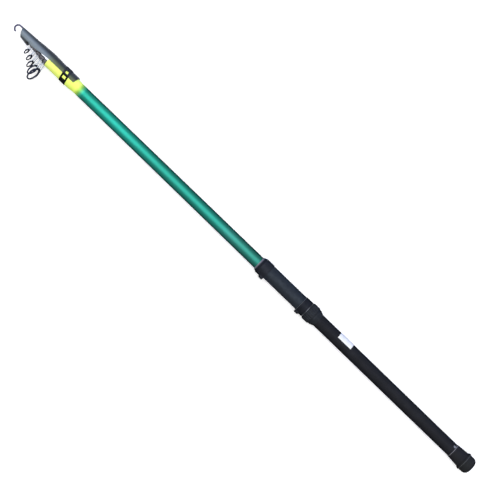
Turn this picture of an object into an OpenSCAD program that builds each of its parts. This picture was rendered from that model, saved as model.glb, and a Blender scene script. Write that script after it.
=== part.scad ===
// Telescopic fishing rod, closed, with its tip cover strapped on.
// X runs from the butt (0) to the tip, Y points to the side of the line guides, Z is up.
// Lengths are millimetres.

/* [Butt end] */
// Length of the rubber butt cap
cap_len = 22; // [18:0.5:30]
// Diameter of the butt cap
cap_d = 32.8; // [31:0.1:36]
// Diameter of the rib round the open end of the butt cap
cap_rib_d = 35.6; // [34:0.1:40]
// Radius of the rounded edge of the butt cap
cap_edge_r = 9.4; // [7:0.1:11]
// Thickness of rubber over the end of the plug
cap_end_wall = 5; // [3:0.5:7]
// Diameter of the thread of the butt plug
plug_thread_d = 16; // [12:0.5:17]
// Length of the threaded bush in the butt of the blank
bush_len = 21.5; // [18:0.5:30]
// Thickness of the soft pad that the inner sections stand on
pad_t = 4; // [2:0.5:6]
// Pitch of the butt plug's thread
plug_pitch = 3; // [2:0.5:4]

/* [Grip] */
// Length of the short flared sleeve in front of the butt cap
butt_sleeve_len = 24.5; // [15:0.5:35]
// Diameter of the flared sleeve at the butt cap
butt_sleeve_rear_d = 30.8; // [29:0.1:33]
// Diameter of the flared sleeve at its front edge
butt_sleeve_front_d = 27; // [26.4:0.1:29]
// Length of the long grip sleeve
grip_len = 336; // [250:1:450]
// Thickness of the long grip sleeve
grip_t = 0.7; // [0.5:0.1:1]

/* [Blank] */
// Diameter of the butt section of the blank under the grip
blank_d = 24.4; // [23:0.1:26]
// Diameter of the butt section where its yellow mouth begins
blank_front_d = 23; // [22.4:0.1:24.4]
// Diameter of the flared mouth of the butt section
mouth_d = 26; // [25:0.1:28]
// Length of the flared mouth
mouth_len = 72; // [50:1:90]
// Wall of the butt section
blank_wall = 1.3; // [1:0.1:1.6]
// Length of the butt section between the reel seat and its mouth
blank_run = 525; // [450:1:700]

/* [Reel seat] */
// Diameter of the barrel of the reel seat
barrel_d = 30.2; // [29.4:0.1:31.4]
// Length of the barrel between the lock nut's rear stop and the front trim
barrel_len = 132.1; // [125:0.1:160]
// Height of the reel foot's saddle above the rod's axis
saddle_y = 14; // [13.8:0.1:14.2]
// Height of the pockets in both hoods above the saddle
pocket_h = 4.2; // [4.15:0.05:4.6]
// Thickness of the hoods above their pockets
pocket_roof = 0.7; // [0.6:0.1:1]
// Width of the pocket that holds an end of the reel foot
pocket_w = 15; // [12:0.5:17]
// Length of the fixed front hood
hood_len = 17.6; // [16:0.1:24]
// Depth of the pockets in both hoods
pocket_len = 7; // [6:0.5:8]
// Length of the sliding hood
slide_hood_len = 15.8; // [14:0.1:20]
// Wall of both hoods
hood_wall = 0.8; // [0.7:0.1:1.1]
// Length of the lock nut
nut_len = 16.6; // [14:0.1:20]
// Diameter of the lock nut
nut_d = 35; // [34.8:0.1:37]
// Number of grip flutes round the lock nut
nut_flutes = 24; // [16:1:30]
// Thickness of the steel slip ring between the lock nut and the sliding hood
slip_ring_t = 0.8; // [0.6:0.1:1.2]
// Travel of the sliding hood
hood_travel = 18; // [12:1:20]
// Pitch of the thread under the lock nut
nut_pitch = 3; // [2:0.5:4]
// Length of the taper behind the lock nut
rear_trim_len = 10.3; // [8:0.1:16]
// Length of the pale trim ring in front of the front hood
front_trim_len = 6.8; // [5:0.1:9]

/* [Inner sections] */
// Diameter of the first inner section at its tip
section_1_tip_d = 16.4; // [15.6:0.1:17.2]
// Diameter of the second inner section at its tip
section_2_tip_d = 10.8; // [10.2:0.1:11.4]
// Diameter of the third inner section at its tip
section_3_tip_d = 6.4; // [6:0.1:6.8]
// Diameter of the solid tip section at its tip
section_4_tip_d = 2.4; // [2:0.1:2.6]
// Wall of the first inner section
section_1_wall = 1.1; // [0.9:0.05:1.3]
// Wall of the second inner section
section_2_wall = 1; // [0.8:0.05:1.1]
// Wall of the third inner section
section_3_wall = 0.9; // [0.7:0.05:1]
// Length of each section that stays inside the next when it is drawn out
overlap = 85; // [60:1:120]

/* [Guides] */
// Outer diameter of the ring on the first inner section
guide_1_ring_d = 27.4; // [25:0.1:29]
// Outer diameter of the ring on the second inner section
guide_2_ring_d = 22; // [20:0.1:24]
// Outer diameter of the ring on the third inner section
guide_3_ring_d = 14.6; // [13:0.1:16]
// Outer diameter of the ring of the floating guide
guide_4_ring_d = 12.4; // [11.6:0.1:13.4]
// Outer diameter of the ring at the tip
guide_5_ring_d = 10.4; // [10:0.1:11.4]
// Height of the first ring's centre above the rod's axis
guide_1_h = 38.1; // [34:0.1:42]
// Height of the second ring's centre above the rod's axis
guide_2_h = 34; // [30:0.1:38]
// Height of the third ring's centre above the rod's axis
guide_3_h = 29.4; // [26:0.1:33]
// Height of the floating ring's centre above the rod's axis
guide_4_h = 22.4; // [20:0.1:25]
// Height of the tip ring's centre above the rod's axis
guide_5_h = 17.4; // [15:0.1:20]
// Length of the collar of the first guide
guide_1_collar_len = 6.3; // [5.6:0.1:8]
// Length of the collar of the second guide
guide_2_collar_len = 9.9; // [7:0.1:11]
// Length of the collar of the third guide
guide_3_collar_len = 8.8; // [7:0.1:10]
// Length of the collar of the floating guide
guide_4_collar_len = 10.6; // [8:0.1:12]
// Length of the collar of the tip-top
guide_5_collar_len = 6.4; // [5.6:0.1:8]
// Distance from the rear of each collar to the centre of its ring
ring_setback = 3.4; // [2.8:0.1:4]
// Wall of the collar of each guide
collar_wall = 0.9; // [0.6:0.05:1.2]
// Diameter of the wire of the guide frames
wire_d = 1.7; // [1.2:0.1:2]
// Angle that each ring leans towards the tip
ring_lean = 8; // [0:1:15]
// Angle that each ring is twisted about its legs, as the stacked guides are pushed askew
ring_twist = 20; // [0:1:22]

/* [Tip cover] */
// Length of the trough of the cover from its rear edge to the nose cup
trough_len = 110; // [100:1:115]
// Length of the closed nose cup of the cover
nose_len = 28.5; // [24:0.5:32]
// Diameter of the nose cup
nose_d = 17.2; // [15:0.1:20]
// Angle that the end of the nose slants back from its upper edge
nose_slant = 26; // [0:1:32]
// Angle that the rear edge of the cover slants, furthest back on the side away from the guides
rear_slant = 10; // [0:1:20]
// Offset of the nose cup from the rod's axis, away from the guides
nose_drop = 2.2; // [0:0.1:4]
// Wall of the cover
cover_wall = 1.2; // [1:0.1:1.6]
// Distance from the rear edge of the cover to the mouth of the blank
cover_lap = 63; // [50:1:66]
// Diameter of the wire of the hook on the nose
hook_wire_d = 2.9; // [2.4:0.1:3.2]
// Diameter of the hook's bend at the middle of the wire
hook_bend_d = 13.2; // [11:0.1:15]
// Angle that the hook's bend turns through
hook_turn = 168; // [120:1:200]
// Width of the rubber strap
strap_w = 14; // [8:0.5:18]
// Thickness of the rubber strap
strap_t = 0.9; // [0.8:0.1:1.2]
// Distance from the rear edge of the cover to the strap
strap_setback = 14.5; // [8:0.5:24]
// Width of the windows in the strap, along the rod
strap_window_w = 7; // [4:0.5:7]
// Height of the windows in the strap
strap_window_h = 5; // [3:0.5:6]
// Angle that the strap slants from straight across the rod
strap_slant = 9; // [0:1:15]

/* [Fits] */
// Gap between pieces that move past each other
run_gap = 0.3; // [0.2:0.05:0.4]
// Radial gap that is left where a drawn-out section jams in the next
jam_gap = 0.1; // [0.05:0.01:0.2]
// Radial gap round a thread
thread_gap = 0.2; // [0.1:0.05:0.3]

/* [Hidden] */
$fn = 96;

// Places along the rod, from the butt
blank_start = cap_len + 2;
grip_start = cap_len + run_gap + butt_sleeve_len;
grip_end = grip_start + grip_len;
barrel_start = grip_end + rear_trim_len;
barrel_end = barrel_start + barrel_len;
nut_start = barrel_start + run_gap;
slip_start = nut_start + nut_len + run_gap;
slide_hood_start = slip_start + slip_ring_t;
slide_hood_end = slide_hood_start + slide_hood_len;
front_hood_start = barrel_end - hood_len;
blank_taper_start = barrel_end + front_trim_len;
mouth_x = blank_taper_start + blank_run;
mouth_start = mouth_x - mouth_len;
mouth_flare = 15;
bush_end = blank_start + bush_len;
section_start = bush_end + run_gap;

// Radii of the butt section
blank_r = blank_d / 2;
blank_bore_r = blank_r - blank_wall;
blank_front_r = blank_front_d / 2;
mouth_r = mouth_d / 2;
mouth_bore_r = blank_front_r - blank_wall;
mouth_round = 1;
grip_r = blank_r + grip_t;

// Radii of the inner sections, from the first to the solid tip
tip_r = [section_1_tip_d / 2, section_2_tip_d / 2, section_3_tip_d / 2, section_4_tip_d / 2];
walls = [section_1_wall, section_2_wall, section_3_wall];
mouth_bores = [mouth_bore_r, for (i = [0:2]) tip_r[i] - walls[i]];
base_r = [for (i = [0:3]) mouth_bores[i] - jam_gap];

// Guides 0 to 2 stand on the inner sections, 3 floats on the tip section and 4 is its tip-top
ring_d = [guide_1_ring_d, guide_2_ring_d, guide_3_ring_d, guide_4_ring_d, guide_5_ring_d];
ring_h = [guide_1_h, guide_2_h, guide_3_h, guide_4_h, guide_5_h];
collar_len = [guide_1_collar_len, guide_2_collar_len, guide_3_collar_len, guide_4_collar_len,
    guide_5_collar_len];
collar_start = [for (i = 0, x = mouth_x + run_gap; i < 5; x = x + collar_len[i] + run_gap, i = i + 1) x];
collar_end = [for (i = [0:4]) collar_start[i] + collar_len[i]];
tip_end = collar_end[4];
section_end = [collar_end[0], collar_end[1], collar_end[2], tip_end - collar_wall];
section_len = [for (x = section_end) x - section_start];

// Travel of each section: its base stops one overlap inside the mouth of the next
mouths = [mouth_x, section_end[0], section_end[1], section_end[2]];
travel = [for (x = mouths) x - overlap - section_start];
float_ratio = -0.5;
float_travel = float_ratio * travel[3];

// The floating guide jams on the taper of the tip section where it stops
float_bore = radius_at(3, collar_start[3] + float_travel) + jam_gap;

// The bore of each other collar follows the taper of its section, from the rear to the front
rear_bore = [for (i = [0:2]) radius_at(i, collar_start[i]), float_bore, radius_at(3, collar_start[4])];
front_bore = [tip_r[0], tip_r[1], tip_r[2], float_bore, tip_r[3]];
collar_r = [for (r = rear_bore) r + collar_wall];

// Rings and frames of the guides; a share is a part of the size that is named beside it
ring_wall_min = 1.1;
ring_wall_share = 0.07;
ring_wall = [for (d = ring_d) ring_wall_min + ring_wall_share * d];
ring_t = [for (w = ring_wall) w + 0.4];
ring_inner_share = 0.6;
ring_x = [for (x = collar_start) x + ring_setback];
leg_d = 0.85 * wire_d;
leg_meets = 35;
leg_foot_turn = 39;
foot_share = 0.95;

// Tip cover
cover_in_r = mouth_r + run_gap;
cover_r = cover_in_r + cover_wall;
cover_start = mouth_x - cover_lap;
cup_start = cover_start + trough_len;
cup_end = cup_start + nose_len;
nose_r = nose_d / 2;
nose_round = 3;
trough_edge_y = -1;
cup_edge_y = 5;
nose_slice = 0.5;
hook_sink = 0.5;
hook_setback = 2.6;
hook_x = cup_end + hook_bend_d / 2 - hook_setback;
hook_y = -nose_drop;
hook_root = 6;
hook_shank_d = 1.15 * hook_wire_d;
strap_middle = cover_start + strap_setback + strap_w / 2;
strap_near_in_r = cover_r + run_gap;
strap_near_out_r = strap_near_in_r + strap_t;
strap_far_in_r = mouth_r + run_gap;
strap_far_out_r = strap_far_in_r + strap_t;
strap_step_y = trough_edge_y + run_gap;
strap_far_window_gap = 0.8;
strap_near_window_gap = 2.9;

// Reel seat
barrel_r = barrel_d / 2;
hood_in_r = barrel_r + thread_gap;
hood_out_r = hood_in_r + hood_wall;
pocket_floor = sqrt(pow(hood_in_r, 2) - pow(pocket_w / 2, 2)) - run_gap;
pocket_y = saddle_y + pocket_h;
bulge_top = pocket_y + pocket_roof;
bulge_crown = 1;
bulge_flat = pocket_len + pocket_roof;
bulge_len = bulge_flat + 2.5;
saddle_relief = 0.2;
thread_depth = 0.6;
thread_land_share = 0.1;
thread_len = nut_len + hood_travel + 2 * run_gap;
nut_r = nut_d / 2;
front_trim_lip = 0.6;

// Butt cap
cap_in_r = blank_r + grip_t;
plug_r = plug_thread_d / 2;
plug_neck_r = plug_r + 2;
plug_stem_start = blank_start - run_gap;
plug_end = bush_end - pad_t - run_gap;

// Outer radius of inner section i at place x along the closed rod
function radius_at(i, x) = base_r[i] + (tip_r[i] - base_r[i]) * (x - section_start) / section_len[i];

// Stands a shape that is drawn along Z on the rod's axis at place x
module along_rod(x) {
    translate([x, 0, 0]) rotate([0, 90, 0]) children();
}

// Turns an outline of [radius, x] points round the rod's axis
module turned(outline) {
    rotate([0, 90, 0]) rotate_extrude() polygon(outline);
}

module rod(x0, x1, r) {
    along_rod(x0) cylinder(h = x1 - x0, r = r);
}

module cone(x0, x1, r0, r1) {
    along_rod(x0) cylinder(h = x1 - x0, r1 = r0, r2 = r1);
}

// Straight wire between two points
module wire(p, q, d) {
    run = q - p;
    translate(p)
        rotate([0, acos(run[2] / norm(run)), atan2(run[1], run[0])])
            cylinder(h = norm(run), d = d, $fn = 32);
}

// Points of a quarter arc from angle a0 to a1, in an outline of [radius, x] points
function arc(r, x, size, a0, a1) = [for (k = [0:6]) let (a = a0 + (a1 - a0) * k / 6)
    [r + size * cos(a), x + size * sin(a)]];

// Butt section of the blank, with its flared mouth
module blank() {
    color("mediumseagreen") turned(concat(
        [[blank_bore_r, blank_start], [blank_r, blank_start], [blank_r, blank_taper_start],
            [blank_front_r, mouth_start], [mouth_r, mouth_start + mouth_flare]],
        arc(mouth_r - mouth_round, mouth_x - mouth_round, mouth_round, 0, 90),
        [[mouth_bore_r, mouth_x], [mouth_bore_r, mouth_start], [blank_bore_r, blank_taper_start]]));
}

module grip_sleeve() {
    color("#26282b") turned([[blank_r, grip_start], [grip_r, grip_start], [grip_r, grip_end],
        [blank_r, grip_end]]);
}

module butt_sleeve() {
    start = cap_len + run_gap;
    color("#2a2b2d") turned([[blank_r, blank_start], [blank_r, grip_start],
        [butt_sleeve_front_d / 2, grip_start], [butt_sleeve_rear_d / 2, start], [cap_in_r, start],
        [cap_in_r, blank_start]]);
}

// Threaded bush that is glued into the butt of the blank
module thread_bush() {
    color("#4a4d52") turned([[plug_r, blank_start], [blank_bore_r, blank_start], [blank_bore_r, bush_end],
        [plug_r, bush_end]]);
}

// Rubber cap over the head of the plug
module butt_cap() {
    rib_len = 4;
    rib_rise = 3;
    rib_edge = 1;
    cap_r = cap_d / 2;
    rib_r = cap_rib_d / 2;
    rib_start = cap_len - rib_len;
    color("#232426") turned(concat([[0, 0]], arc(cap_r - cap_edge_r, cap_edge_r, cap_edge_r, -90, 0),
        [[cap_r, rib_start - rib_rise], [rib_r, rib_start], [rib_r, cap_len - rib_edge],
            [rib_r - rib_edge, cap_len], [cap_in_r, cap_len], [cap_in_r, cap_end_wall], [0, cap_end_wall]]));
}

// Plastic plug in the cap: a head and a threaded stem
module butt_plug() {
    stem_r = plug_r - thread_gap;
    groove_count = floor((plug_end - plug_stem_start) / plug_pitch);
    color("#55585c") difference() {
        union() {
            rod(cap_end_wall, cap_len, cap_in_r);
            rod(cap_len, plug_stem_start, plug_neck_r);
            rod(plug_stem_start, plug_end, stem_r);
        }
        for (i = [0:groove_count - 1])
            thread_groove(plug_stem_start + i * plug_pitch, stem_r, plug_pitch);
    }
}

// Soft pad that the inner sections stand on
module butt_pad() {
    color("#8a8378") rod(plug_end + run_gap, bush_end, plug_r - thread_gap);
}

// Reel seat barrel, with a saddle for the reel foot and a thread at its rear
module seat_barrel() {
    groove_count = floor(thread_len / nut_pitch);
    saddle_start = slide_hood_end + run_gap;
    saddle_end = front_hood_start - run_gap;
    color("#35393e") difference() {
        rod(barrel_start, barrel_end, barrel_r);
        rod(barrel_start - 1, barrel_end + 1, blank_r);
        saddle_flat(saddle_start - 1, saddle_end + 1, saddle_y);
        saddle_flat(slip_start, saddle_start, saddle_y - saddle_relief);
        saddle_flat(saddle_end, front_hood_start + pocket_len, saddle_y - saddle_relief);
        for (i = [0:groove_count - 1])
            thread_groove(barrel_start + 1 + i * nut_pitch, barrel_r, nut_pitch);
    }
}

// Room above a flat on the guide side of the barrel
module saddle_flat(x0, x1, y) {
    translate([x0, y, -barrel_r]) cube([x1 - x0, barrel_r, 2 * barrel_r]);
}

// One ring of a thread that is cut into a rod of radius r
module thread_groove(x, r, pitch) {
    land = pitch * thread_land_share;
    turned([[r - thread_depth, x + pitch / 2], [r + 1, x + land], [r + 1, x + pitch - land]]);
}

// Raised roof on the guide side of a hood, over its pocket, from the hood's mouth at x
module hood_bulge(x) {
    width = pocket_w + 2 * hood_wall;
    crown_r = bulge_top + bulge_crown;
    intersection() {
        translate([x, 0, -width / 2]) cube([bulge_len, bulge_top, width]);
        turned([[0, x], [crown_r, x], [crown_r, x + bulge_flat], [hood_out_r, x + bulge_len],
            [0, x + bulge_len]]);
    }
}

// Room for an end of the reel foot, with rounded shoulders
module pocket(x0, x1) {
    intersection() {
        translate([x0, pocket_floor, -pocket_w / 2]) cube([x1 - x0, pocket_y - pocket_floor, pocket_w]);
        rod(x0, x1, pocket_y + bulge_crown);
    }
}

// Hood fixed on the front end of the barrel
module front_hood() {
    color("#303439") difference() {
        union() {
            rod(front_hood_start, barrel_end, hood_out_r);
            hood_bulge(front_hood_start);
        }
        rod(front_hood_start - 1, barrel_end + 1, barrel_r);
        pocket(front_hood_start - 1, front_hood_start + pocket_len);
    }
}

// Pale ring that closes the front of the reel seat
module front_trim() {
    color("#9a9ca3") turned([[blank_r, barrel_end], [hood_out_r, barrel_end],
        [blank_r + front_trim_lip, barrel_end + front_trim_len], [blank_r, barrel_end + front_trim_len]]);
}

// Taper from the grip up to the barrel's rear end
module rear_trim() {
    color("#2b2d31") turned([[blank_r, grip_end], [grip_r, grip_end], [hood_out_r, barrel_start - 2],
        [hood_out_r, barrel_start], [blank_r, barrel_start]]);
}

// Hood that slides forward on to the reel foot
module sliding_hood() {
    color("#2c3035") difference() {
        union() {
            rod(slide_hood_start, slide_hood_end, hood_out_r);
            mirror([1, 0, 0]) hood_bulge(-slide_hood_end);
        }
        rod(slide_hood_start - 1, slide_hood_end + 1, hood_in_r);
        pocket(slide_hood_end - pocket_len, slide_hood_end + 1);
    }
}

module slip_ring() {
    color("silver") difference() {
        rod(slip_start, slide_hood_start, hood_out_r);
        rod(slip_start - 1, slide_hood_start + 1, hood_in_r);
    }
}

// Fluted nut that drives the sliding hood
module lock_nut() {
    edge = 2;
    flute_r = 0.8;
    nut_end = nut_start + nut_len;
    color("#33373c") difference() {
        turned(concat([[hood_in_r, nut_start]], arc(nut_r - edge, nut_start + edge, edge, -90, 0),
            arc(nut_r - edge, nut_end - edge, edge, 0, 90), [[hood_in_r, nut_end]]));
        for (i = [0:nut_flutes - 1])
            rotate([i * 360 / nut_flutes, 0, 0]) translate([0, 0, nut_r + flute_r / 2])
                rod(nut_start - 1, nut_end + 1, flute_r);
    }
}

// Hollow inner section i, a plain tapered tube
module tube_section(i) {
    turned([[base_r[i] - walls[i], section_start], [base_r[i], section_start], [tip_r[i], section_end[i]],
        [tip_r[i] - walls[i], section_end[i]]]);
}

module section_1() {
    color("seagreen") tube_section(0);
}

module section_2() {
    color("seagreen") tube_section(1);
}

module section_3() {
    color("seagreen") tube_section(2);
}

module tip_section() {
    color("seagreen") cone(section_start, section_end[3], base_r[3], tip_r[3]);
}

// Collar of guide i on its section; the tip-top's collar has a closed end
module guide_collar(i) {
    open_end = [[front_bore[i], collar_end[i]]];
    closed_end = [[0, collar_end[i]], [0, section_end[3]], [front_bore[i], section_end[3]]];
    color("#777b80") turned(concat(
        [[rear_bore[i], collar_start[i]], [collar_r[i], collar_start[i]], [collar_r[i], collar_end[i]]],
        i == 4 ? closed_end : open_end));
}

// Puts a shape that is drawn round the origin, in the plane across the rod, at ring i
module at_ring(i) {
    translate([ring_x[i], ring_h[i], 0]) rotate([0, ring_twist, -ring_lean]) children();
}

// Place of a point that is given in ring i's own frame
function from_ring(i, p) =
    let (leaned_x = p[0] * cos(ring_twist) + p[2] * sin(ring_twist),
        leaned_z = p[2] * cos(ring_twist) - p[0] * sin(ring_twist))
    [ring_x[i] + leaned_x * cos(ring_lean) + p[1] * sin(ring_lean),
        ring_h[i] + p[1] * cos(ring_lean) - leaned_x * sin(ring_lean), leaned_z];

// Wire frame of guide i: a cradle round the near half of the ring, two legs and a brace
module guide_frame(i) {
    cradle_r = ring_d[i] / 2 + wire_d / 2;
    foot_r = collar_r[i] * foot_share;
    foot_y = foot_r * cos(leg_foot_turn);
    foot_z = foot_r * sin(leg_foot_turn);
    leg_y = -cradle_r * sin(leg_meets);
    leg_z = cradle_r * cos(leg_meets);
    color("#c9ccd1") difference() {
        union() {
            at_ring(i) rotate([0, 90, 0]) rotate([0, 0, 180]) rotate_extrude(angle = 180)
                translate([cradle_r, 0]) circle(d = wire_d, $fn = 32);
            for (side = [-1, 1])
                wire([collar_start[i] + wire_d, foot_y, side * foot_z],
                    from_ring(i, [0, leg_y, side * leg_z]), leg_d);
            wire([collar_end[i] - wire_d, foot_r, 0], from_ring(i, [0, -cradle_r, 0]), leg_d);
        }
        rod(collar_start[i] - 5, collar_end[i] + 5, collar_r[i]);
    }
}

// Dark ring of guide i that the line runs through, round in section
module guide_ring(i) {
    r = ring_d[i] / 2;
    half = ring_t[i] / 2;
    inner_half = half * ring_inner_share;
    color("#25272c") at_ring(i) turned(concat(
        arc(r - half, 0, half, -90, 90),
        arc(r - ring_wall[i] + inner_half, 0, inner_half, 90, 270)));
}

// Solid inside of the trough and the nose cup, shrunk by inset; the end of the nose slants back
module cover_body(inset) {
    r = cover_r - inset;
    nose = nose_r - inset;
    size = 4 * nose_r;
    difference() {
        union() {
            rod(cover_start - inset, mouth_x, r);
            hull() {
                along_rod(mouth_x) cylinder(h = nose_slice, r = r, $fn = 64);
                nose_disc(cup_end - nose_round, nose);
            }
            hull() {
                nose_disc(cup_end - nose_round, nose);
                nose_disc(cup_end - inset - nose_slice, nose - nose_round / 2);
            }
        }
        translate([cup_end - inset / cos(nose_slant), -nose_drop - nose_r, 0]) rotate([0, 0, nose_slant])
            translate([0, -size / 2, -size / 2]) cube([size, 2 * size, size]);
    }
}

// Thin disc across the nose cup, on the cup's own axis
module nose_disc(x, r) {
    translate([0, -nose_drop, 0]) along_rod(x) cylinder(h = nose_slice, r = r, $fn = 64);
}

// Cover over the tips: a trough that is open towards the guides, with a closed nose cup
// and a slot on each side under the strap's window
module tip_cover() {
    big = 3 * cover_r;
    edge_turn = atan2(cup_edge_y - trough_edge_y, cup_start - mouth_x);
    color("#5c646c") difference() {
        cover_body(0);
        cover_body(cover_wall);
        translate([cover_start - 1, trough_edge_y, -big / 2]) cube([mouth_x - cover_start + 1, big, big]);
        intersection() {
            translate([mouth_x, trough_edge_y, 0]) rotate([0, 0, edge_turn])
                translate([-big, 0, -big / 2]) cube([3 * big, big, big]);
            translate([mouth_x - 1, -big, -big]) cube([cup_start - mouth_x + 1, 2 * big, 2 * big]);
        }
        translate([cover_start, -cover_r, 0]) rotate([0, 0, -rear_slant])
            translate([-big, -big, -big]) cube([big, 3 * big, 2 * big]);
        near_window();
    }
}

// Wire hook that is moulded into the nose of the cover, with a thicker shank and a bead on its end
module cover_hook() {
    bend_r = hook_bend_d / 2;
    top_y = hook_y - bend_r;
    color("#6d7080") {
        wire([cup_end - hook_root, top_y, 0], [hook_x + hook_sink, top_y, 0], hook_shank_d);
        translate([hook_x, hook_y, 0]) rotate([0, 0, -90]) rotate_extrude(angle = hook_turn)
            translate([bend_r, 0]) circle(d = hook_wire_d, $fn = 32);
        translate([hook_x + bend_r * sin(hook_turn), hook_y - bend_r * cos(hook_turn), 0])
            sphere(d = hook_shank_d, $fn = 32);
    }
}

// Rubber strap round the mouth and the cover: wide over the cover, close round the mouth on the guide side,
// with square windows on both sides
module cover_strap() {
    size = 3 * strap_near_out_r;
    step_end = strap_step_y + strap_t;
    color("#1d1f20") difference() {
        union() {
            strap_band(strap_near_in_r, strap_near_out_r, step_end - size, step_end);
            strap_band(strap_far_in_r, strap_far_out_r, strap_step_y, strap_step_y + size);
            strap_band(strap_far_in_r, strap_near_out_r, strap_step_y, step_end);
        }
        strap_slab(step_end + strap_far_window_gap, strap_window_w, strap_window_h);
        near_window();
    }
}

// Room of the strap's window over the cover
module near_window() {
    strap_slab(strap_step_y - strap_near_window_gap - strap_window_h, strap_window_w, strap_window_h);
}

// Part of the slanted strap between heights y0 and y1
module strap_band(r_in, r_out, y0, y1) {
    reach = 2 * strap_w;
    size = 2 * strap_near_out_r;
    intersection() {
        difference() {
            rod(strap_middle - reach, strap_middle + reach, r_out);
            rod(strap_middle - reach - 1, strap_middle + reach + 1, r_in);
        }
        strap_slab(-1.5 * size, strap_w, 3 * size);
        translate([strap_middle - reach, y0, -size]) cube([2 * reach, y1 - y0, 2 * size]);
    }
}

// Slab across the strap, from height y up, that slants with it
module strap_slab(y, width, height) {
    deep = 3 * strap_near_out_r;
    translate([strap_middle, 0, -deep / 2]) rotate([0, 0, strap_slant])
        translate([-width / 2, y, 0]) cube([width, height, deep]);
}

blank();
grip_sleeve();
butt_sleeve();
thread_bush();
butt_cap();
butt_plug();
butt_pad();
seat_barrel();
front_hood();
front_trim();
rear_trim();
sliding_hood();
slip_ring();
lock_nut();
section_1();
section_2();
section_3();
tip_section();
guide_collar(0);  // guide_1_collar
guide_frame(0);  // guide_1_frame
guide_ring(0);  // guide_1_ring
guide_collar(1);  // guide_2_collar
guide_frame(1);  // guide_2_frame
guide_ring(1);  // guide_2_ring
guide_collar(2);  // guide_3_collar
guide_frame(2);  // guide_3_frame
guide_ring(2);  // guide_3_ring
guide_collar(3);  // float_guide_collar
guide_frame(3);  // float_guide_frame
guide_ring(3);  // float_guide_ring
guide_collar(4);  // tip_top_collar
guide_frame(4);  // tip_top_frame
guide_ring(4);  // tip_top_ring
tip_cover();
cover_hook();
cover_strap();
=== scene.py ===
"""Looks, camera and light of a closed telescopic fishing rod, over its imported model.

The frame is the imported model's: +X from the butt to the tip, +Y to the line guides, +Z up, in metres.
"""
from math import acos, atan, cos, pi, radians, sin, sqrt, tan

import bmesh
import bpy
from mathutils import Matrix, Vector


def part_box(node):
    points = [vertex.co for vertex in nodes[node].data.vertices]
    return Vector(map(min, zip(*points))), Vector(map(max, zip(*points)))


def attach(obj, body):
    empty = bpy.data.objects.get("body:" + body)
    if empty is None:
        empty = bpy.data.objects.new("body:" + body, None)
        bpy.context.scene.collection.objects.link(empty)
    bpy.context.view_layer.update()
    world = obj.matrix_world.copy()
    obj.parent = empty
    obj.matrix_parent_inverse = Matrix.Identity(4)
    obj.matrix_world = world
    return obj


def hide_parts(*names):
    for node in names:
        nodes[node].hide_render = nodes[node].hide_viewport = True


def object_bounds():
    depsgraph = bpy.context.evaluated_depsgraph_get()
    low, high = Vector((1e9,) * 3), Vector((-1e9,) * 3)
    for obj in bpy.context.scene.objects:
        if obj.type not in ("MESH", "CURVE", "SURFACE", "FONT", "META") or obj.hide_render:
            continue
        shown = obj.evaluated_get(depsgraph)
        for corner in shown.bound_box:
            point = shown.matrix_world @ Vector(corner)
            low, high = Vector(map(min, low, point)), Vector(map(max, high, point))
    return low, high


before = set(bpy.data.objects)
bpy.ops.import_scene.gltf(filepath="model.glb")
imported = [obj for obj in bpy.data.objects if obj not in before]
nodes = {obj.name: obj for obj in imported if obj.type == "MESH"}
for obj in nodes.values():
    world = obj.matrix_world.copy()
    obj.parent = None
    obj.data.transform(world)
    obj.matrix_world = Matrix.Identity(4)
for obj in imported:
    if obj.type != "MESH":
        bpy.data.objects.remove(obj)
cad_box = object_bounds()

MM = 0.001
GUIDES = ("guide_1", "guide_2", "guide_3", "float_guide", "tip_top")
GUIDE_BODIES = ("section_1", "section_2", "section_3", "float_guide", "tip")


def linear(hex_code):
    """Linear RGBA of an sRGB hex colour."""
    channels = [int(hex_code[i:i + 2], 16) / 255 for i in (1, 3, 5)]
    return [c / 12.92 if c <= 0.04045 else ((c + 0.055) / 1.055) ** 2.4 for c in channels] + [1.0]


def add(tree, kind, inputs=None, stops=None, **settings):
    """Adds a node: settings are its properties, inputs its values or links, stops the colours of a ramp."""
    made = tree.nodes.new(kind)
    for name, value in settings.items():
        setattr(made, name, value)
    for key, value in (inputs or {}).items():
        if isinstance(value, bpy.types.NodeSocket):
            tree.links.new(value, made.inputs[key])
        else:
            made.inputs[key].default_value = value
    if stops:
        elements = made.color_ramp.elements
        while len(elements) < len(stops):
            elements.new(1.0)
        for element, (place, hex_code) in zip(elements, stops):
            element.position = place
            element.color = linear(hex_code)
    return made


def calculate(tree, operation, *values):
    """The outcome of one operation on values or links."""
    return add(tree, "ShaderNodeMath", dict(enumerate(values)), operation=operation).outputs[0]


def between(tree, value, start, end, low=0.0, high=1.0, smooth=False):
    """Runs from low to high, and no further, as value goes from start to end."""
    inputs = {"Value": value, "From Min": start, "From Max": end, "To Min": low, "To Max": high}
    kind = "SMOOTHSTEP" if smooth else "LINEAR"
    return add(tree, "ShaderNodeMapRange", inputs, interpolation_type=kind).outputs["Result"]


def ramp(tree, value, *stops):
    """A colour that runs through stops, each a place from 0 to 1 and a hex colour."""
    return add(tree, "ShaderNodeValToRGB", {"Fac": value}, stops).outputs["Color"]


def blend(tree, share, first, second):
    """A colour that runs from first to second, each a colour or a link, as share goes from 0 to 1."""
    # Inputs 6 and 7 and output 2 are the colours of this node
    return add(tree, "ShaderNodeMix", {0: share, 6: first, 7: second}, data_type="RGBA").outputs[2]


def start_material(name, **values):
    """A material with a Principled shader whose sockets hold these values, and its Object coordinates."""
    material = bpy.data.materials.new(name)
    material.use_nodes = True
    tree = material.node_tree
    shader = tree.nodes["Principled BSDF"]
    for key, value in values.items():
        shader.inputs[key.replace("_", " ").title().replace("Ior", "IOR")].default_value = value
    place = add(tree, "ShaderNodeTexCoord").outputs["Object"]
    return material, tree, shader, place


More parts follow.
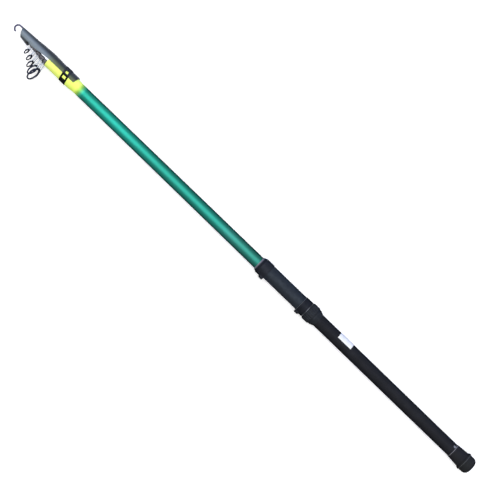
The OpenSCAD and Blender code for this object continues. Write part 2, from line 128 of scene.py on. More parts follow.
# Camera: straight above the rod, with the butt at the lower right and the tip at the upper left
PICTURE_WIDTH = 499
PIXEL = 1.8 * MM
VIEW_WIDTH = PICTURE_WIDTH * PIXEL
VIEW_MIDDLE = Vector((0.5603, -0.005, 0.0))
VIEW_DISTANCE = 3.3
ROD_TURN = radians(224.04)

camera_data = bpy.data.cameras.new("camera")
camera_data.sensor_fit = "HORIZONTAL"
camera_data.angle = 2 * atan(VIEW_WIDTH / 2 / VIEW_DISTANCE)
camera = bpy.data.objects.new("camera", camera_data)
camera.location = VIEW_MIDDLE + Vector((0, 0, VIEW_DISTANCE))
camera.rotation_euler = (0, 0, ROD_TURN)
bpy.context.collection.objects.link(camera)
bpy.context.scene.camera = camera
bpy.context.scene.view_settings.view_transform = "Standard"

# Light: a broad soft light from the camera's side, a cool one from the side away from the guides, and a low
# even light all round
KEY_LIGHT = 3.0
KEY_SPREAD = radians(70)
KEY_TILT = (radians(6), 0, 0)
SIDE_LIGHT = 1.4
SIDE_SPREAD = radians(40)
SIDE_TILT = (radians(78), 0, 0)
EVEN_LIGHT = 0.06


def soft_sun(name, level, spread, tilt, hex_code):
    """A wide sun of this level, spread and colour."""
    data = bpy.data.lights.new(name, "SUN")
    data.energy = level
    data.angle = spread
    data.color = linear(hex_code)[:3]
    lamp = bpy.data.objects.new(name, data)
    lamp.rotation_euler = tilt
    bpy.context.collection.objects.link(lamp)
    return lamp


soft_sun("soft_overhead_light", KEY_LIGHT, KEY_SPREAD, KEY_TILT, "#ffffff")
soft_sun("cool_side_light", SIDE_LIGHT, SIDE_SPREAD, SIDE_TILT, "#7da6ff").visible_glossy = False


def seen_directly(tree):
    """1 where a ray comes from the camera, or off or through a surface, and 0 where it only lights."""
    path = add(tree, "ShaderNodeLightPath").outputs
    shown = calculate(tree, "MAXIMUM", path["Is Camera Ray"], path["Is Glossy Ray"])
    return calculate(tree, "MAXIMUM", shown, path["Is Transmission Ray"])


world = bpy.data.worlds.new("white_studio")
world.use_nodes = True
bpy.context.scene.world = world
strength = between(world.node_tree, seen_directly(world.node_tree), 0.0, 1.0, low=EVEN_LIGHT)
background = world.node_tree.nodes["Background"]
background.inputs["Color"].default_value = linear("#ffffff")
world.node_tree.links.new(strength, background.inputs["Strength"])

# Fineness of the noise in all materials
GRAIN_DETAIL = 3.0
# A wave texture of scale 1 repeats after this distance
WAVE_LENGTH = 0.314


def dark_sheen(share):
    """Shader values for a soft sheen down the middle of a rounded surface that fades towards its edges."""
    return {"metallic": share, "specular_ior_level": 0.0, "specular_tint": linear("#000000")}


def along_rod(tree, place):
    """Distance along the rod from the end of the butt, in metres."""
    return add(tree, "ShaderNodeSeparateXYZ", {"Vector": place}).outputs["X"]


def rod_surface(tree, place, radius):
    """Distances along the rod and round it, in metres, on a surface of this radius."""
    split = add(tree, "ShaderNodeSeparateXYZ", {"Vector": place}).outputs
    angle = calculate(tree, "ARCTAN2", split["Y"], split["Z"])
    return split["X"], calculate(tree, "MULTIPLY", angle, radius)


def grain(tree, place, size):
    """Random mottling from 0 to 1 whose grains are about this size, in metres."""
    inputs = {"Vector": place, "Scale": 1 / size, "Detail": GRAIN_DETAIL}
    return add(tree, "ShaderNodeTexNoise", inputs).outputs["Fac"]


def stretched(tree, place, scale):
    """Coordinates scaled along each axis, which draws out a texture where the scale is small."""
    return add(tree, "ShaderNodeMapping", {"Vector": place, "Scale": scale}).outputs["Vector"]


def emboss(tree, shader, height, depth, strength):
    """Raises the surface by a height from 0 to 1 times depth, in metres."""
    bump = add(tree, "ShaderNodeBump", {"Height": height, "Distance": depth, "Strength": strength})
    tree.links.new(bump.outputs["Normal"], shader.inputs["Normal"])


def paint(tree, shader, colour):
    """Gives a shader its base colour."""
    tree.links.new(colour, shader.inputs["Base Color"])


def two_tone(tree, value, dark, light, margin=0.25):
    """A colour that runs from dark to light as value goes from 0 to 1, even over a margin at each end."""
    return ramp(tree, value, (margin, dark), (1 - margin, light))


def vary_roughness(tree, shader, value, low, high):
    """Roughness that runs from low to high as value goes from 0 to 1."""
    tree.links.new(between(tree, value, 0.0, 1.0, low, high), shader.inputs["Roughness"])


def fine_grit(tree, shader, place, rough):
    """Spark-eroded grit of moulded plastic, which softens the highlight about this roughness."""
    smoother, rougher = 0.06, 0.08
    grit = grain(tree, place, size=0.7 * MM)
    emboss(tree, shader, grit, depth=0.06 * MM, strength=0.3)
    vary_roughness(tree, shader, grit, rough - smoother, rough + rougher)


FLOOR_REACH = 9.0
FLOOR_LIFT = 0.45


def white_floor():
    """Matt white sweep: lit paper that keeps the soft shadow, lifted to white where it is looked at, and grey
    to the light that it throws back on the rod."""
    material, tree, shader, _ = start_material("white_paper_floor", roughness=0.9, specular_ior_level=0.1)
    seen = seen_directly(tree)
    paint(tree, shader, blend(tree, seen, linear("#404040"), linear("#f4f4f4")))
    shader.inputs["Emission Color"].default_value = linear("#ffffff")
    lift = calculate(tree, "MULTIPLY", seen, FLOOR_LIFT)
    tree.links.new(lift, shader.inputs["Emission Strength"])
    corners = [(x * FLOOR_REACH, y * FLOOR_REACH, 0) for x, y in ((-1, -1), (1, -1), (1, 1), (-1, 1))]
    mesh = bpy.data.meshes.new("floor")
    mesh.from_pydata(corners, [], [(0, 1, 2, 3)])
    mesh.transform(Matrix.Translation((VIEW_MIDDLE.x, 0, cad_box[0][2])))
    mesh.materials.append(material)
    floor = bpy.data.objects.new("floor", mesh)
    bpy.context.collection.objects.link(floor)


white_floor()


def butt_lacquer():
    """Gloss lacquer over wound glass fibre: a deep smooth sea green that runs into fluorescent yellow at the
    mouth."""
    flake_share, painted_glow_strength, tape_pitch = 0.8, 0.3, 4 * MM
    material, tree, shader, place = start_material("lacquered_glass_fibre", specular_ior_level=0.1,
                                                   specular_tint=linear("#3c4646"), coat_ior=1.0,
                                                   coat_tint=linear("#959595"))
    along = along_rod(tree, place)
    # The green holds metal flakes; the yellow holds none, and has a painted glow that lifts it above its lit
    # colour
    green = between(tree, along, 969 * MM, 986 * MM, low=1.0, high=0.0)
    tree.links.new(calculate(tree, "MULTIPLY", green, flake_share), shader.inputs["Metallic"])
    # The coat over the flakes is tinted, so it darkens where the eye looks through more of it
    tree.links.new(green, shader.inputs["Coat Weight"])
    shader.inputs["Emission Color"].default_value = linear("#b8e020")
    painted_glow = between(tree, along, 974 * MM, 986 * MM, high=painted_glow_strength)
    tree.links.new(painted_glow, shader.inputs["Emission Strength"])
    # Colours at places along the rod, in millimetres; the paler, greyer stops at 580 and 606 mm are a painted
    # glare
    colours = ((532, "#4cbdab"), (580, "#53c4b4"), (606, "#58ccbf"), (634, "#47d0be"), (780, "#45d8c2"),
               (890, "#45f0da"), (971, "#46eacf"), (978, "#94dc62"), (984, "#effe7f"), (1057, "#fcff96"))
    rear, front = colours[0][0], colours[-1][0]
    stops = [((x - rear) / (front - rear), colour) for x, colour in colours]
    paint(tree, shader, ramp(tree, between(tree, along, rear * MM, front * MM), *stops))
    # Ridges of the winding tape, hardly raised
    ridges = add(tree, "ShaderNodeTexWave", {"Vector": place, "Scale": WAVE_LENGTH / tape_pitch,
                                             "Distortion": 0.6})
    emboss(tree, shader, ridges.outputs["Fac"], depth=0.02 * MM, strength=0.25)
    vary_roughness(tree, shader, grain(tree, place, size=9 * MM), low=0.42, high=0.5)
    return material


def section_lacquer():
    """Gloss lacquer over thinner glass fibre: the same green, darker, with drawn-out rub marks along it."""
    material, tree, shader, place = start_material("lacquered_section", metallic=0.8, specular_ior_level=0.1,
                                                   specular_tint=linear("#3c4646"))
    rubbed = grain(tree, stretched(tree, place, scale=(0.02, 1, 1)), size=0.8 * MM)
    paint(tree, shader, two_tone(tree, rubbed, "#1c6157", "#256f64"))
    vary_roughness(tree, shader, rubbed, low=0.36, high=0.48)
    return material


def grip_rubber():
    """Shrink-fit rubber: black, dull, with a pressed knitted diamond pattern, its grooves painted darker as
    shade.
    """
    grip_r, smear_middle = 12.9 * MM, (49.6 * MM, -7.4 * MM, 10.6 * MM)
    # The diamonds of the real sleeve are about 1.2 mm; 2.6 mm shows in the render
    diamond = 2.6 * MM
    material, tree, shader, place = start_material("shrink_rubber", **dark_sheen(0.27))
    along, around = rod_surface(tree, place, grip_r)
    waves = []
    for sense in ("ADD", "SUBTRACT"):
        slant = calculate(tree, sense, along, around)
        waves.append(calculate(tree, "SINE", calculate(tree, "MULTIPLY", slant, 2 * pi / diamond)))
    raised = between(tree, calculate(tree, "MULTIPLY", *waves), -1.0, 1.0)
    worn = grain(tree, place, size=16 * MM)
    # Wear mottling and painted shade: the pressed grooves of the diamonds are painted darker than the raised
    # parts
    shades = two_tone(tree, calculate(tree, "MULTIPLY", raised, worn), "#222327", "#313238")
    # A pale smear of glue beside the butt sleeve
    away = add(tree, "ShaderNodeVectorMath", {0: place, 1: smear_middle}, operation="DISTANCE")
    ragged = calculate(tree, "MULTIPLY", away.outputs["Value"], grain(tree, place, size=1.6 * MM))
    smear = between(tree, ragged, 0.9 * MM, 1.5 * MM, low=0.75, high=0.0)
    paint(tree, shader, blend(tree, smear, shades, linear("#8b8e96")))
    emboss(tree, shader, raised, depth=0.35 * MM, strength=0.55)
    vary_roughness(tree, shader, worn, low=0.45, high=0.55)
    return material


def painted_highlight_line(tree, place, colour, line):
    """A colour crossed by a painted highlight: a pale line round the rod, between two places along it."""
    start, end, hex_code = line
    along = along_rod(tree, place)
    past = calculate(tree, "GREATER_THAN", along, start)
    short = calculate(tree, "LESS_THAN", along, end)
    return blend(tree, calculate(tree, "MULTIPLY", past, short), colour, linear(hex_code))


def dull_rubber(name, dark, light, line=None):
    """Moulded rubber: charcoal, matt and slightly chalky, with a fine even grit."""
    material, tree, shader, place = start_material(name, **dark_sheen(0.19))
    grit_share = 0.4
    grit = grain(tree, place, size=0.9 * MM)
    clouds = grain(tree, place, size=11 * MM)
    mixed = add(tree, "ShaderNodeMix", {"Factor": grit_share, "A": clouds, "B": grit}).outputs["Result"]
    colour = two_tone(tree, mixed, dark, light, margin=0.3)
    # Painted highlight: a pale line where an edge catches the light
    if line:
        colour = painted_highlight_line(tree, place, colour, line)
    paint(tree, shader, colour)
    emboss(tree, shader, grit, depth=0.12 * MM, strength=0.4)
    vary_roughness(tree, shader, clouds, low=0.62, high=0.8)
    return material


def moulded_plastic(name, dark, light, rough=0.42, sheen=0.3, line=None):
    """Satin moulded plastic: an even colour with a fine grit."""
    material, tree, shader, place = start_material(name, **dark_sheen(sheen))
    colour = two_tone(tree, grain(tree, place, size=7 * MM), dark, light)
    # Painted highlight: a pale line where an edge catches the light
    if line:
        colour = painted_highlight_line(tree, place, colour, line)
    paint(tree, shader, colour)
    fine_grit(tree, shader, place, rough)
    return material


def polished_metal(name, dark, light, rough=0.22):
    """Drawn or turned metal: bright, with faint lines along the way it was worked."""
    material, tree, shader, place = start_material(name, metallic=1.0)
    smoother, rougher = 0.06, 0.1
    worked = grain(tree, stretched(tree, place, scale=(1, 0.06, 0.06)), size=0.3 * MM)
    paint(tree, shader, two_tone(tree, worked, dark, light))
    vary_roughness(tree, shader, worked, rough - smoother, rough + rougher)
    return material


def smoked_plastic():
    """Smoked cover plastic: clear grey near the nose, with painted shade along its back and towards the
    strap, olive painted where the yellow mouth shines through, and a painted shadow in the nose."""
    material, tree, shader, place = start_material("smoked_cover_plastic", specular_ior_level=0.15)
    split = add(tree, "ShaderNodeSeparateXYZ", {"Vector": place}).outputs
    along, side = split["X"], split["Y"]
    # Painted shade: the cover is darker along its back, on the -Y side, and towards the strap
    painted_light_forward = between(tree, along, 1030 * MM, 1080 * MM, low=0.4, smooth=True)
    front = between(tree, side, -11 * MM, -2.5 * MM, smooth=True)
    # The mouth shines through the rear half, painted in as olive; it ends at 1057 mm
    off_mouth = between(tree, along, 1042 * MM, 1064 * MM)
    clear_shade = ramp(tree, off_mouth, (0.0, "#8c986b"), (1.0, "#818d97"))
    shades = blend(tree, calculate(tree, "MULTIPLY", painted_light_forward, front), linear("#2b3138"), clear_shade)
    # Painted shadow: a dark patch inside the nose, darkest at the nose's open end
    low = between(tree, side, 1.0 * MM, 4.5 * MM, smooth=True)
    nose_shadow_span = between(tree, along, 1098 * MM, 1105 * MM)
    depth = between(tree, along, 1107 * MM, 1112 * MM)
    dark = ramp(tree, depth, (0.0, "#0f1214"), (1.0, "#474e53"))
    paint(tree, shader, blend(tree, calculate(tree, "MULTIPLY", low, nose_shadow_span), shades, dark))
    fine_grit(tree, shader, place, rough=0.4)
    return material


def end_shade(name, dark, light, start, end):
    """Satin plastic that is pale at its front edge and darker towards the rear."""
    material, tree, shader, place = start_material(name, **dark_sheen(0.3))
    share = between(tree, along_rod(tree, place), start, end)
    paint(tree, shader, two_tone(tree, share, dark, light))
    fine_grit(tree, shader, place, rough=0.42)
    return material


def strap_rubber():
    """Moulded strap rubber: black, scuffed grey in flecks on its back, where it rubs over the cover."""
    material, tree, shader, place = start_material("moulded_strap_rubber", **dark_sheen(0.2))
    side = add(tree, "ShaderNodeSeparateXYZ", {"Vector": place}).outputs["Y"]
    back = between(tree, side, -0.5 * MM, -2.5 * MM)
    flecks = calculate(tree, "MULTIPLY", grain(tree, place, size=2.5 * MM), back)
    paint(tree, shader, two_tone(tree, flecks, "#191b1b", "#484c53", margin=0.3))
    vary_roughness(tree, shader, grain(tree, place, size=0.9 * MM), low=0.62, high=0.8)
    return material


def mesh_of(name, points, faces):
    """A mesh of points in millimetres, with doubles merged and faces turned outwards."""
    merge_distance = 0.001 * MM
    mesh = bpy.data.meshes.new(name)
    mesh.from_pydata([Vector(point) * MM for point in points], [], faces)
    shape = bmesh.new()
    shape.from_mesh(mesh)
    bmesh.ops.remove_doubles(shape, verts=shape.verts, dist=merge_distance)
    bmesh.ops.recalc_face_normals(shape, faces=shape.faces)
    shape.to_mesh(mesh)
    shape.free()
    return mesh


def grid(columns, rows, closed_across=False, closed_along=False):
    """Faces between rows of points, each row with this many columns."""
    faces = []
    for i in range(rows if closed_along else rows - 1):
        here, after = i * columns, (i + 1) % rows * columns
        for k in range(columns if closed_across else columns - 1):
            beside = (k + 1) % columns
            faces.append((here + k, here + beside, after + beside, after + k))
    return faces


def round_rod(name, outline, steps=144):
    """A closed surface round the rod's axis; outline is a loop of places and radii, which may be functions of
    the angle from +Y."""
    points = []
    for x, radius in outline:
        for k in range(steps):
            angle = 2 * pi * k / steps
            r = radius(angle) if callable(radius) else radius
            points.append((x, r * cos(angle), r * sin(angle)))
    return mesh_of(name, points, grid(steps, len(outline), True, True))


def plain_copy(maker):
    """A plain mesh of an object with its modifiers applied; the object and its own mesh go."""
    graph = bpy.context.evaluated_depsgraph_get()
    mesh = bpy.data.meshes.new_from_object(maker.evaluated_get(graph))
    bare = maker.data
    name = bare.name
    bpy.data.objects.remove(maker)
    bpy.data.meshes.remove(bare)
    mesh.name = name
    return mesh


def modified(mesh, *modifiers):
    """The plain mesh that modifiers, each a kind and its settings, make of a mesh."""
    maker = bpy.data.objects.new(mesh.name, mesh)
    bpy.context.collection.objects.link(maker)
    for kind, settings in modifiers:
        modifier = maker.modifiers.new(kind.lower(), kind)
        for key, value in settings.items():
            setattr(modifier, key, value)
    return plain_copy(maker)


def wall(thickness, offset):
    """A modifier that gives a sheet a wall in millimetres, inwards for an offset of -1 and outwards for 1."""
    return "SOLIDIFY", {"thickness": thickness * MM, "offset": offset}


def grown(mesh, tree, values):
    """The plain mesh that a Geometry Nodes tree makes of a mesh, with these values of its named inputs."""
    maker = bpy.data.objects.new(mesh.name, mesh)
    modifier = maker.modifiers.new("growth", "NODES")
    modifier.node_group = tree
    for item in tree.interface.items_tree:
        if item.in_out == "INPUT" and item.name in values:
            modifier[item.identifier] = values[item.name]
    bpy.context.collection.objects.link(maker)
    return plain_copy(maker)


def finish_piece(mesh, material, body, slot, *replaced, crease=40):
    """Makes a finished mesh a piece that rides on a body and stands in for CAD nodes; edges over the crease
    angle, in degrees, stay sharp."""
    mesh.materials.clear()
    mesh.materials.append(material)
    mesh.polygons.foreach_set("use_smooth", [True] * len(mesh.polygons))
    mesh.set_sharp_from_angle(angle=radians(crease))
    piece = bpy.data.objects.new(mesh.name, mesh)
    bpy.context.collection.objects.link(piece)
    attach(piece, body)
    if replaced:
        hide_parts(*replaced)


def start_tree(name, **inputs):
    """A Geometry Nodes tree with a geometry input and output, and named inputs of these kinds."""
    tree = bpy.data.node_groups.new(name, "GeometryNodeTree")
    tree.interface.new_socket("Geometry", in_out="INPUT", socket_type="NodeSocketGeometry")
    tree.interface.new_socket("Geometry", in_out="OUTPUT", socket_type="NodeSocketGeometry")
    for title, kind in inputs.items():
        tree.interface.new_socket(title.replace("_", " "), in_out="INPUT", socket_type="NodeSocket" + kind)
    return tree, add(tree, "NodeGroupInput").outputs


def end_tree(tree, shape, material):
    """Ends a tree with real geometry in one material."""
    real = add(tree, "GeometryNodeRealizeInstances", {"Geometry": shape})
    made = add(tree, "GeometryNodeSetMaterial", {"Geometry": real.outputs["Geometry"], "Material": material})
    add(tree, "NodeGroupOutput", {"Geometry": made.outputs["Geometry"]})


def wire_tree():
    """Sweeps a round wire along the edges of a mesh, thicker or thinner towards its end."""
    wire_sides = 20
    tree, given = start_tree("bent_wire", Wire_Diameter="Float", End_Share="Float", Wire_Material="Material")
    path = add(tree, "GeometryNodeMeshToCurve", {"Mesh": given["Geometry"]})
    factor = add(tree, "GeometryNodeSplineParameter").outputs["Factor"]
    share = between(tree, factor, 0.0, 1.0, low=1.0, high=given["End Share"])
    size = add(tree, "GeometryNodeSetCurveRadius", {"Curve": path.outputs["Curve"], "Radius": share})
    half = calculate(tree, "MULTIPLY", given["Wire Diameter"], 0.5)
    round_bar = add(tree, "GeometryNodeCurvePrimitiveCircle", {"Resolution": wire_sides, "Radius": half})
    swept = add(tree, "GeometryNodeCurveToMesh", {"Curve": size.outputs["Curve"], "Fill Caps": True,
                                                  "Profile Curve": round_bar.outputs["Curve"]})
    end_tree(tree, swept.outputs["Mesh"], given["Wire Material"])
    return tree


def rib_tree():
    """Sets copies of a rib, drawn along X on the +Z side, evenly round the rod's axis."""
    tree, given = start_tree("ribs_round_the_rod", Rib_Count="Int", Rib_Radius="Float",
                             Rib_Material="Material")
    ring = add(tree, "GeometryNodeMeshCircle", {"Vertices": given["Rib Count"],
                                                "Radius": given["Rib Radius"]})
    upright = add(tree, "GeometryNodeTransform", {"Geometry": ring.outputs["Mesh"],
                                                  "Rotation": (0, pi / 2, 0)})
    spot = add(tree, "GeometryNodeInputPosition")
    turn = add(tree, "FunctionNodeAlignRotationToVector", {"Vector": spot.outputs["Position"]}, axis="Z",
               pivot_axis="X")
    ribs = add(tree, "GeometryNodeInstanceOnPoints", {"Points": upright.outputs["Geometry"],
                                                      "Instance": given["Geometry"],
                                                      "Rotation": turn.outputs["Rotation"]})
    end_tree(tree, ribs.outputs["Instances"], given["Rib Material"])
    return tree


WIRE_TREE = wire_tree()
BEND_STEPS = 40


def wires(name, material, diameter, *paths, end_share=1.0):
    """Round wires along paths of points in millimetres."""
    points = []
    edges = []
    for path in paths:
        edges += [(len(points) + k, len(points) + k + 1) for k in range(len(path) - 1)]
        points += path
    bare = bpy.data.meshes.new(name)
    bare.from_pydata([Vector(point) * MM for point in points], edges, [])
    values = {"Wire Diameter": diameter * MM, "End Share": end_share, "Wire Material": material}
    return grown(bare, WIRE_TREE, values)


def steps_to(end, steps):
    """Even steps from 0 to end, both included."""
    return [end * k / steps for k in range(steps + 1)]


def clamped(value):
    """A value held between 0 and 1."""
    return min(max(value, 0.0), 1.0)


def eased(share):
    """A share from 0 to 1 that starts and ends gently."""
    return share * share * (3 - 2 * share)


def fall_in(x, start, end, size):
    """How far a surface from start to end falls in at x, where both its ends are rounded over this size."""
    depth = min(x - start, end - x)
    return 0.0 if depth >= size else size - sqrt(max(size * size - (size - depth) ** 2, 0.0))


def places(start, end, edge, steps=24):
    """Places from start to end, closer together over rounded edges of this size."""
    edge_steps = 6
    near = [edge * (1 - cos(swing)) for swing in steps_to(pi / 2, edge_steps)]
    middle = [start + edge + (end - start - 2 * edge) * k / steps for k in range(1, steps)]
    return [start + d for d in near] + middle + [end - d for d in reversed(near)]


def box_radius(angle, height, half_width, sharpness):
    """Distance from the axis to a box with soft corners on the +Y side, in the direction of an angle."""
    if cos(angle) <= 0:
        return 0.0
    up = (cos(angle) / height) ** sharpness
    across = abs(sin(angle) / half_width) ** sharpness
    return (up + across) ** (-1 / sharpness)


def hood(name, material, body, start, end, bore, mouth_at_end):
    """Hood of the reel seat: a rounded sleeve that swells over a pocket for the reel foot at its mouth."""
    outer_r, swell_len, edge = 16.1, 10.2, 0.7
    pocket_top, pocket_half_w, pocket_depth, pocket_sharpness = 18.2, 7.6, 7.0, 8
    roof_t, roof_half_w, roof_sharpness = 0.7, 8.9, 6
    half_step = 0.05

    def from_mouth(x):
        return end - x if mouth_at_end else x - start

    def outer(x):
        swell = 1 - eased(clamped((from_mouth(x) - pocket_depth) / (swell_len - pocket_depth)))
        plain_r = outer_r - fall_in(x, start, end, edge)

        def radius(angle):
            roof_r = box_radius(angle, pocket_top + roof_t, roof_half_w, roof_sharpness)
            return plain_r + swell * max(roof_r - outer_r, 0.0)
        return radius

    def inner(x):
        if from_mouth(x) >= pocket_depth:
            return bore
        return lambda angle: max(bore, box_radius(angle, pocket_top, pocket_half_w, pocket_sharpness))

    pocket_end = end - pocket_depth if mouth_at_end else start + pocket_depth
    inside = sorted([start, end, pocket_end - half_step, pocket_end + half_step])
    outline = [(x, outer(x)) for x in places(start, end, edge)] + [(x, inner(x)) for x in reversed(inside)]
    finish_piece(round_rod(name, outline), material, body, "seat_plastic", name)


def lock_nut(material):
    """Fluted nut: a turned core with rounded ribs set round it."""
    start, end, core_r, bore, edge = 393.4, 410.0, 16.8, 15.3, 1.6
    rib_width, rib_height, rib_edge, rib_fall, rib_fullness = 3.4, 1.5, 1.5, 0.9, 0.6
    rib_count, rib_inset, rib_sunk = 24, 1.2, 0.7
    rib_steps, length_steps = 12, 6
    outline = [(x, core_r - fall_in(x, start, end, edge)) for x in places(start, end, edge, length_steps)]
    core = round_rod("lock_nut", outline + [(end, bore), (start, bore)])
    rib_start, rib_end = start + rib_inset, end - rib_inset
    rows = places(rib_start, rib_end, rib_edge, length_steps)
    points = []
    for x in rows:
        height = rib_height - rib_fall * fall_in(x, rib_start, rib_end, rib_edge)
        for swing in steps_to(pi, rib_steps):
            points.append((x, rib_width / 2 * cos(swing), height * sin(swing) ** rib_fullness))
    rib = mesh_of("nut_rib", points, grid(rib_steps + 1, len(rows), True))
    ribs = grown(rib, rib_tree(), {"Rib Count": rib_count, "Rib Radius": (core_r - rib_sunk) * MM,
                                   "Rib Material": material})
    shape = bmesh.new()
    shape.from_mesh(core)
    shape.from_mesh(ribs)
    shape.to_mesh(core)
    shape.free()
    finish_piece(core, material, "nut", "nut_plastic", "lock_nut")


def butt_cap(material):
    """Moulded cap: a round end with a small centre dimple, and a rib round its open end."""
    radius, rib_r, length, edge, end_wall, bore = 16.4, 17.8, 22.0, 9.4, 5.0, 12.9
    edge_steps = 16
    swings = steps_to(pi / 2, edge_steps)
    rounded = [(edge * (1 - cos(swing)), radius - edge + edge * sin(swing)) for swing in swings]
    # Places along the rod and radii
    dimple = [(0.9, 0.0), (0.9, 2.2), (0.5, 2.9), (0.05, 3.5)]
    rib = [(14.6, radius), (15.6, radius + 0.1), (16.8, radius + 0.6), (17.8, rib_r - 0.2), (18.5, rib_r),
           (19.3, rib_r), (20.0, rib_r - 0.3), (21.0, rib_r - 0.8), (length, rib_r - 1.3)]
    inside = [(length, bore), (end_wall, bore), (end_wall, 0.0)]
    cap = round_rod("butt_cap", dimple + rounded + rib + inside)
    finish_piece(cap, material, "cap", "cap_rubber", "butt_cap")


# Guides, from the first one to the tip, in millimetres
RING_D = (27.4, 22.0, 14.6, 12.4, 10.4)
RING_H = (38.1, 34.0, 29.4, 22.4, 17.4)
COLLAR_START = (1057.3, 1063.9, 1074.1, 1083.2, 1094.1)
COLLAR_LEN = (6.3, 9.9, 8.8, 10.6, 6.4)
WRAP_R = (13.0, 10.9, 8.9, 7.3, 6.3)
RING_SETBACK = 3.4
RING_LEAN = radians(8)
RING_TWIST = radians(20)
WIRE_D = 1.7
LEG_D = 0.85 * WIRE_D


def guide_frame(index, bright, blackened, body):
    """Bent wire frame of a guide: a blackened cradle round the half of its ring that faces the rod, and two
    legs and a brace that stand on the collar."""
    guide = GUIDES[index]
    start = COLLAR_START[index]
    end = start + COLLAR_LEN[index]
    collar_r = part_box(guide + "_collar")[1][2] / MM
    cradle_r = RING_D[index] / 2 + WIRE_D / 2
    foot_turn, meets = radians(39), radians(35)
    turn = Matrix.Rotation(-RING_LEAN, 3, "Z") @ Matrix.Rotation(RING_TWIST, 3, "Y")
    middle = Vector((start + RING_SETBACK, RING_H[index], 0))

    def on_cradle(angle):
        return middle + turn @ Vector((0, -cradle_r * sin(angle), cradle_r * cos(angle)))

    cradle = [on_cradle(swing) for swing in steps_to(pi, BEND_STEPS)]
    legs = []
    for side, meeting in ((1, meets), (-1, pi - meets)):
        foot = Vector((start + WIRE_D, collar_r * cos(foot_turn), side * collar_r * sin(foot_turn)))
        legs.append([foot, on_cradle(meeting)])
    brace = [Vector((end - WIRE_D, collar_r, 0)), on_cradle(pi / 2)]
    cradle_mesh = wires(guide + "_cradle", blackened, WIRE_D, cradle)
    finish_piece(cradle_mesh, blackened, body, "frame_wire")
    legs_mesh = wires(guide + "_legs", bright, LEG_D, *legs, brace)
    finish_piece(legs_mesh, bright, body, "frame_wire", guide + "_frame")


def foot_wrap(index, material, body):
    """Moulded foot: a thick half sleeve of dark resin on the collar's guide side, which holds the frame's
    feet."""
    inset, edge, resin_wall, reach = 0.4, 0.9, 0.3, radians(72)
    length_steps, half_columns = 4, 12
    columns = 2 * half_columns + 1
    guide = GUIDES[index]
    start, end = COLLAR_START[index] + inset, COLLAR_START[index] + COLLAR_LEN[index] - inset
    collar_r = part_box(guide + "_collar")[1][2] / MM
    thick = WRAP_R[index] - collar_r
    # Both ends close down on the collar
    rows = [(start, 0.0)]
    rows += [(x, thick - fall_in(x, start, end, edge)) for x in places(start, end, edge, length_steps)]
    rows.append((end, 0.0))
    points = []
    for x, height in rows:
        for k in range(columns):
            share = k / half_columns - 1
            radius = collar_r + height * sqrt(max(1 - share ** 4, 0.0))
            points.append((x, radius * cos(reach * share), radius * sin(reach * share)))
    bare = mesh_of(guide + "_foot_wrap", points, grid(columns, len(rows)))
    finish_piece(modified(bare, wall(resin_wall, -1.0)), material, body, "frame_wire")


# Cover and strap: places along the rod, sizes and the slot under the strap, in millimetres
COVER_START, MOUTH, CUP_START, CUP_END = 994.0, 1057.0, 1104.0, 1132.5
COVER_R, NOSE_R, NOSE_DROP, COVER_WALL = 14.5, 8.6, 2.2, 1.2
STRAP_MIDDLE, STRAP_SLANT = 1015.5, radians(9)
SLOT_HALF_W, SLOT_LOW, SLOT_HIGH = 4.0, -9.1, -3.1


def tip_cover(material):
    """Moulded cover: a ribbed trough that is open to the guides and closes into a slanted nose."""
    columns, nose_steps, row_step, last_gap = 73, 40, 0.5, 0.4
    rear_slant, rear_len = tan(radians(10)), 10
    rib_pitch, rib_height = 4.0, 0.22
    hump, hump_middle, hump_half_len = 0.8, MOUTH + 5, 30
    rim_rear, rim_rise = -1, 6
    nose_slant, nose_edge, nose_straight, dish = tan(radians(26)), 2.4, 3, 1.6
    nose_back = -NOSE_DROP - NOSE_R
    rear = [COVER_START + row_step * k for k in range(int((MOUTH - COVER_START) / row_step))]
    taper = [MOUTH + row_step * k for k in range(int((CUP_START - MOUTH) / row_step))]
    nose = [CUP_START + along for along in steps_to(CUP_END - CUP_START, nose_steps)]
    rows = rear + taper + [CUP_START - last_gap] + nose
    points = []
    for x in rows:
        share = clamped((x - MOUTH) / (CUP_END - nose_straight - MOUTH))
        middle = -NOSE_DROP * share
        radius = COVER_R + (NOSE_R - COVER_R) * share - fall_in(x, 0, CUP_END, nose_edge)
        radius += hump * max(1 - ((x - hump_middle) / hump_half_len) ** 2, 0.0)
        if x < CUP_START:
            radius += rib_height * max(cos(2 * pi * (x - COVER_START) / rib_pitch), 0.0)
        rim = rim_rear + rim_rise * clamped((x - MOUTH) / (CUP_START - MOUTH))
        reach = pi if x >= CUP_START else acos((middle - rim) / radius)
        nose_lean = nose_slant * clamped((x - CUP_START) / (CUP_END - CUP_START))
        rear_lean = rear_slant * max(1 - (x - COVER_START) / rear_len, 0.0)
        for k in range(columns):
            angle = reach * (2 * k / (columns - 1) - 1)
            y = middle - radius * cos(angle)
            shift = rear_lean * (y + COVER_R) - nose_lean * (y - nose_back)
            points.append((x + shift, y, radius * sin(angle)))
    faces = grid(columns, len(rows))
    # The nose ends in a shallow dish
    dish_middle = len(points)
    points.append((CUP_END - nose_slant * NOSE_R - dish, -NOSE_DROP, 0))
    last = (len(rows) - 1) * columns
    faces += [(last + k, last + k + 1, dish_middle) for k in range(columns - 1)]
    faces = [face for face in faces if not in_slot([points[k] for k in face])]
    bare = mesh_of("tip_cover", points, faces)
    walled = modified(bare, wall(COVER_WALL, -1.0))
    finish_piece(walled, material, "cover", "cover_plastic", "tip_cover", crease=35)


def in_slot(corners):
    """Whether a face of the cover lies in the slot under the strap's window."""
    x, y = (sum(corner[axis] for corner in corners) / len(corners) for axis in (0, 1))
    along = (x - STRAP_MIDDLE) * cos(STRAP_SLANT) + y * sin(STRAP_SLANT)
    across = y * cos(STRAP_SLANT) - (x - STRAP_MIDDLE) * sin(STRAP_SLANT)
    return abs(along) < SLOT_HALF_W and SLOT_LOW < across < SLOT_HIGH


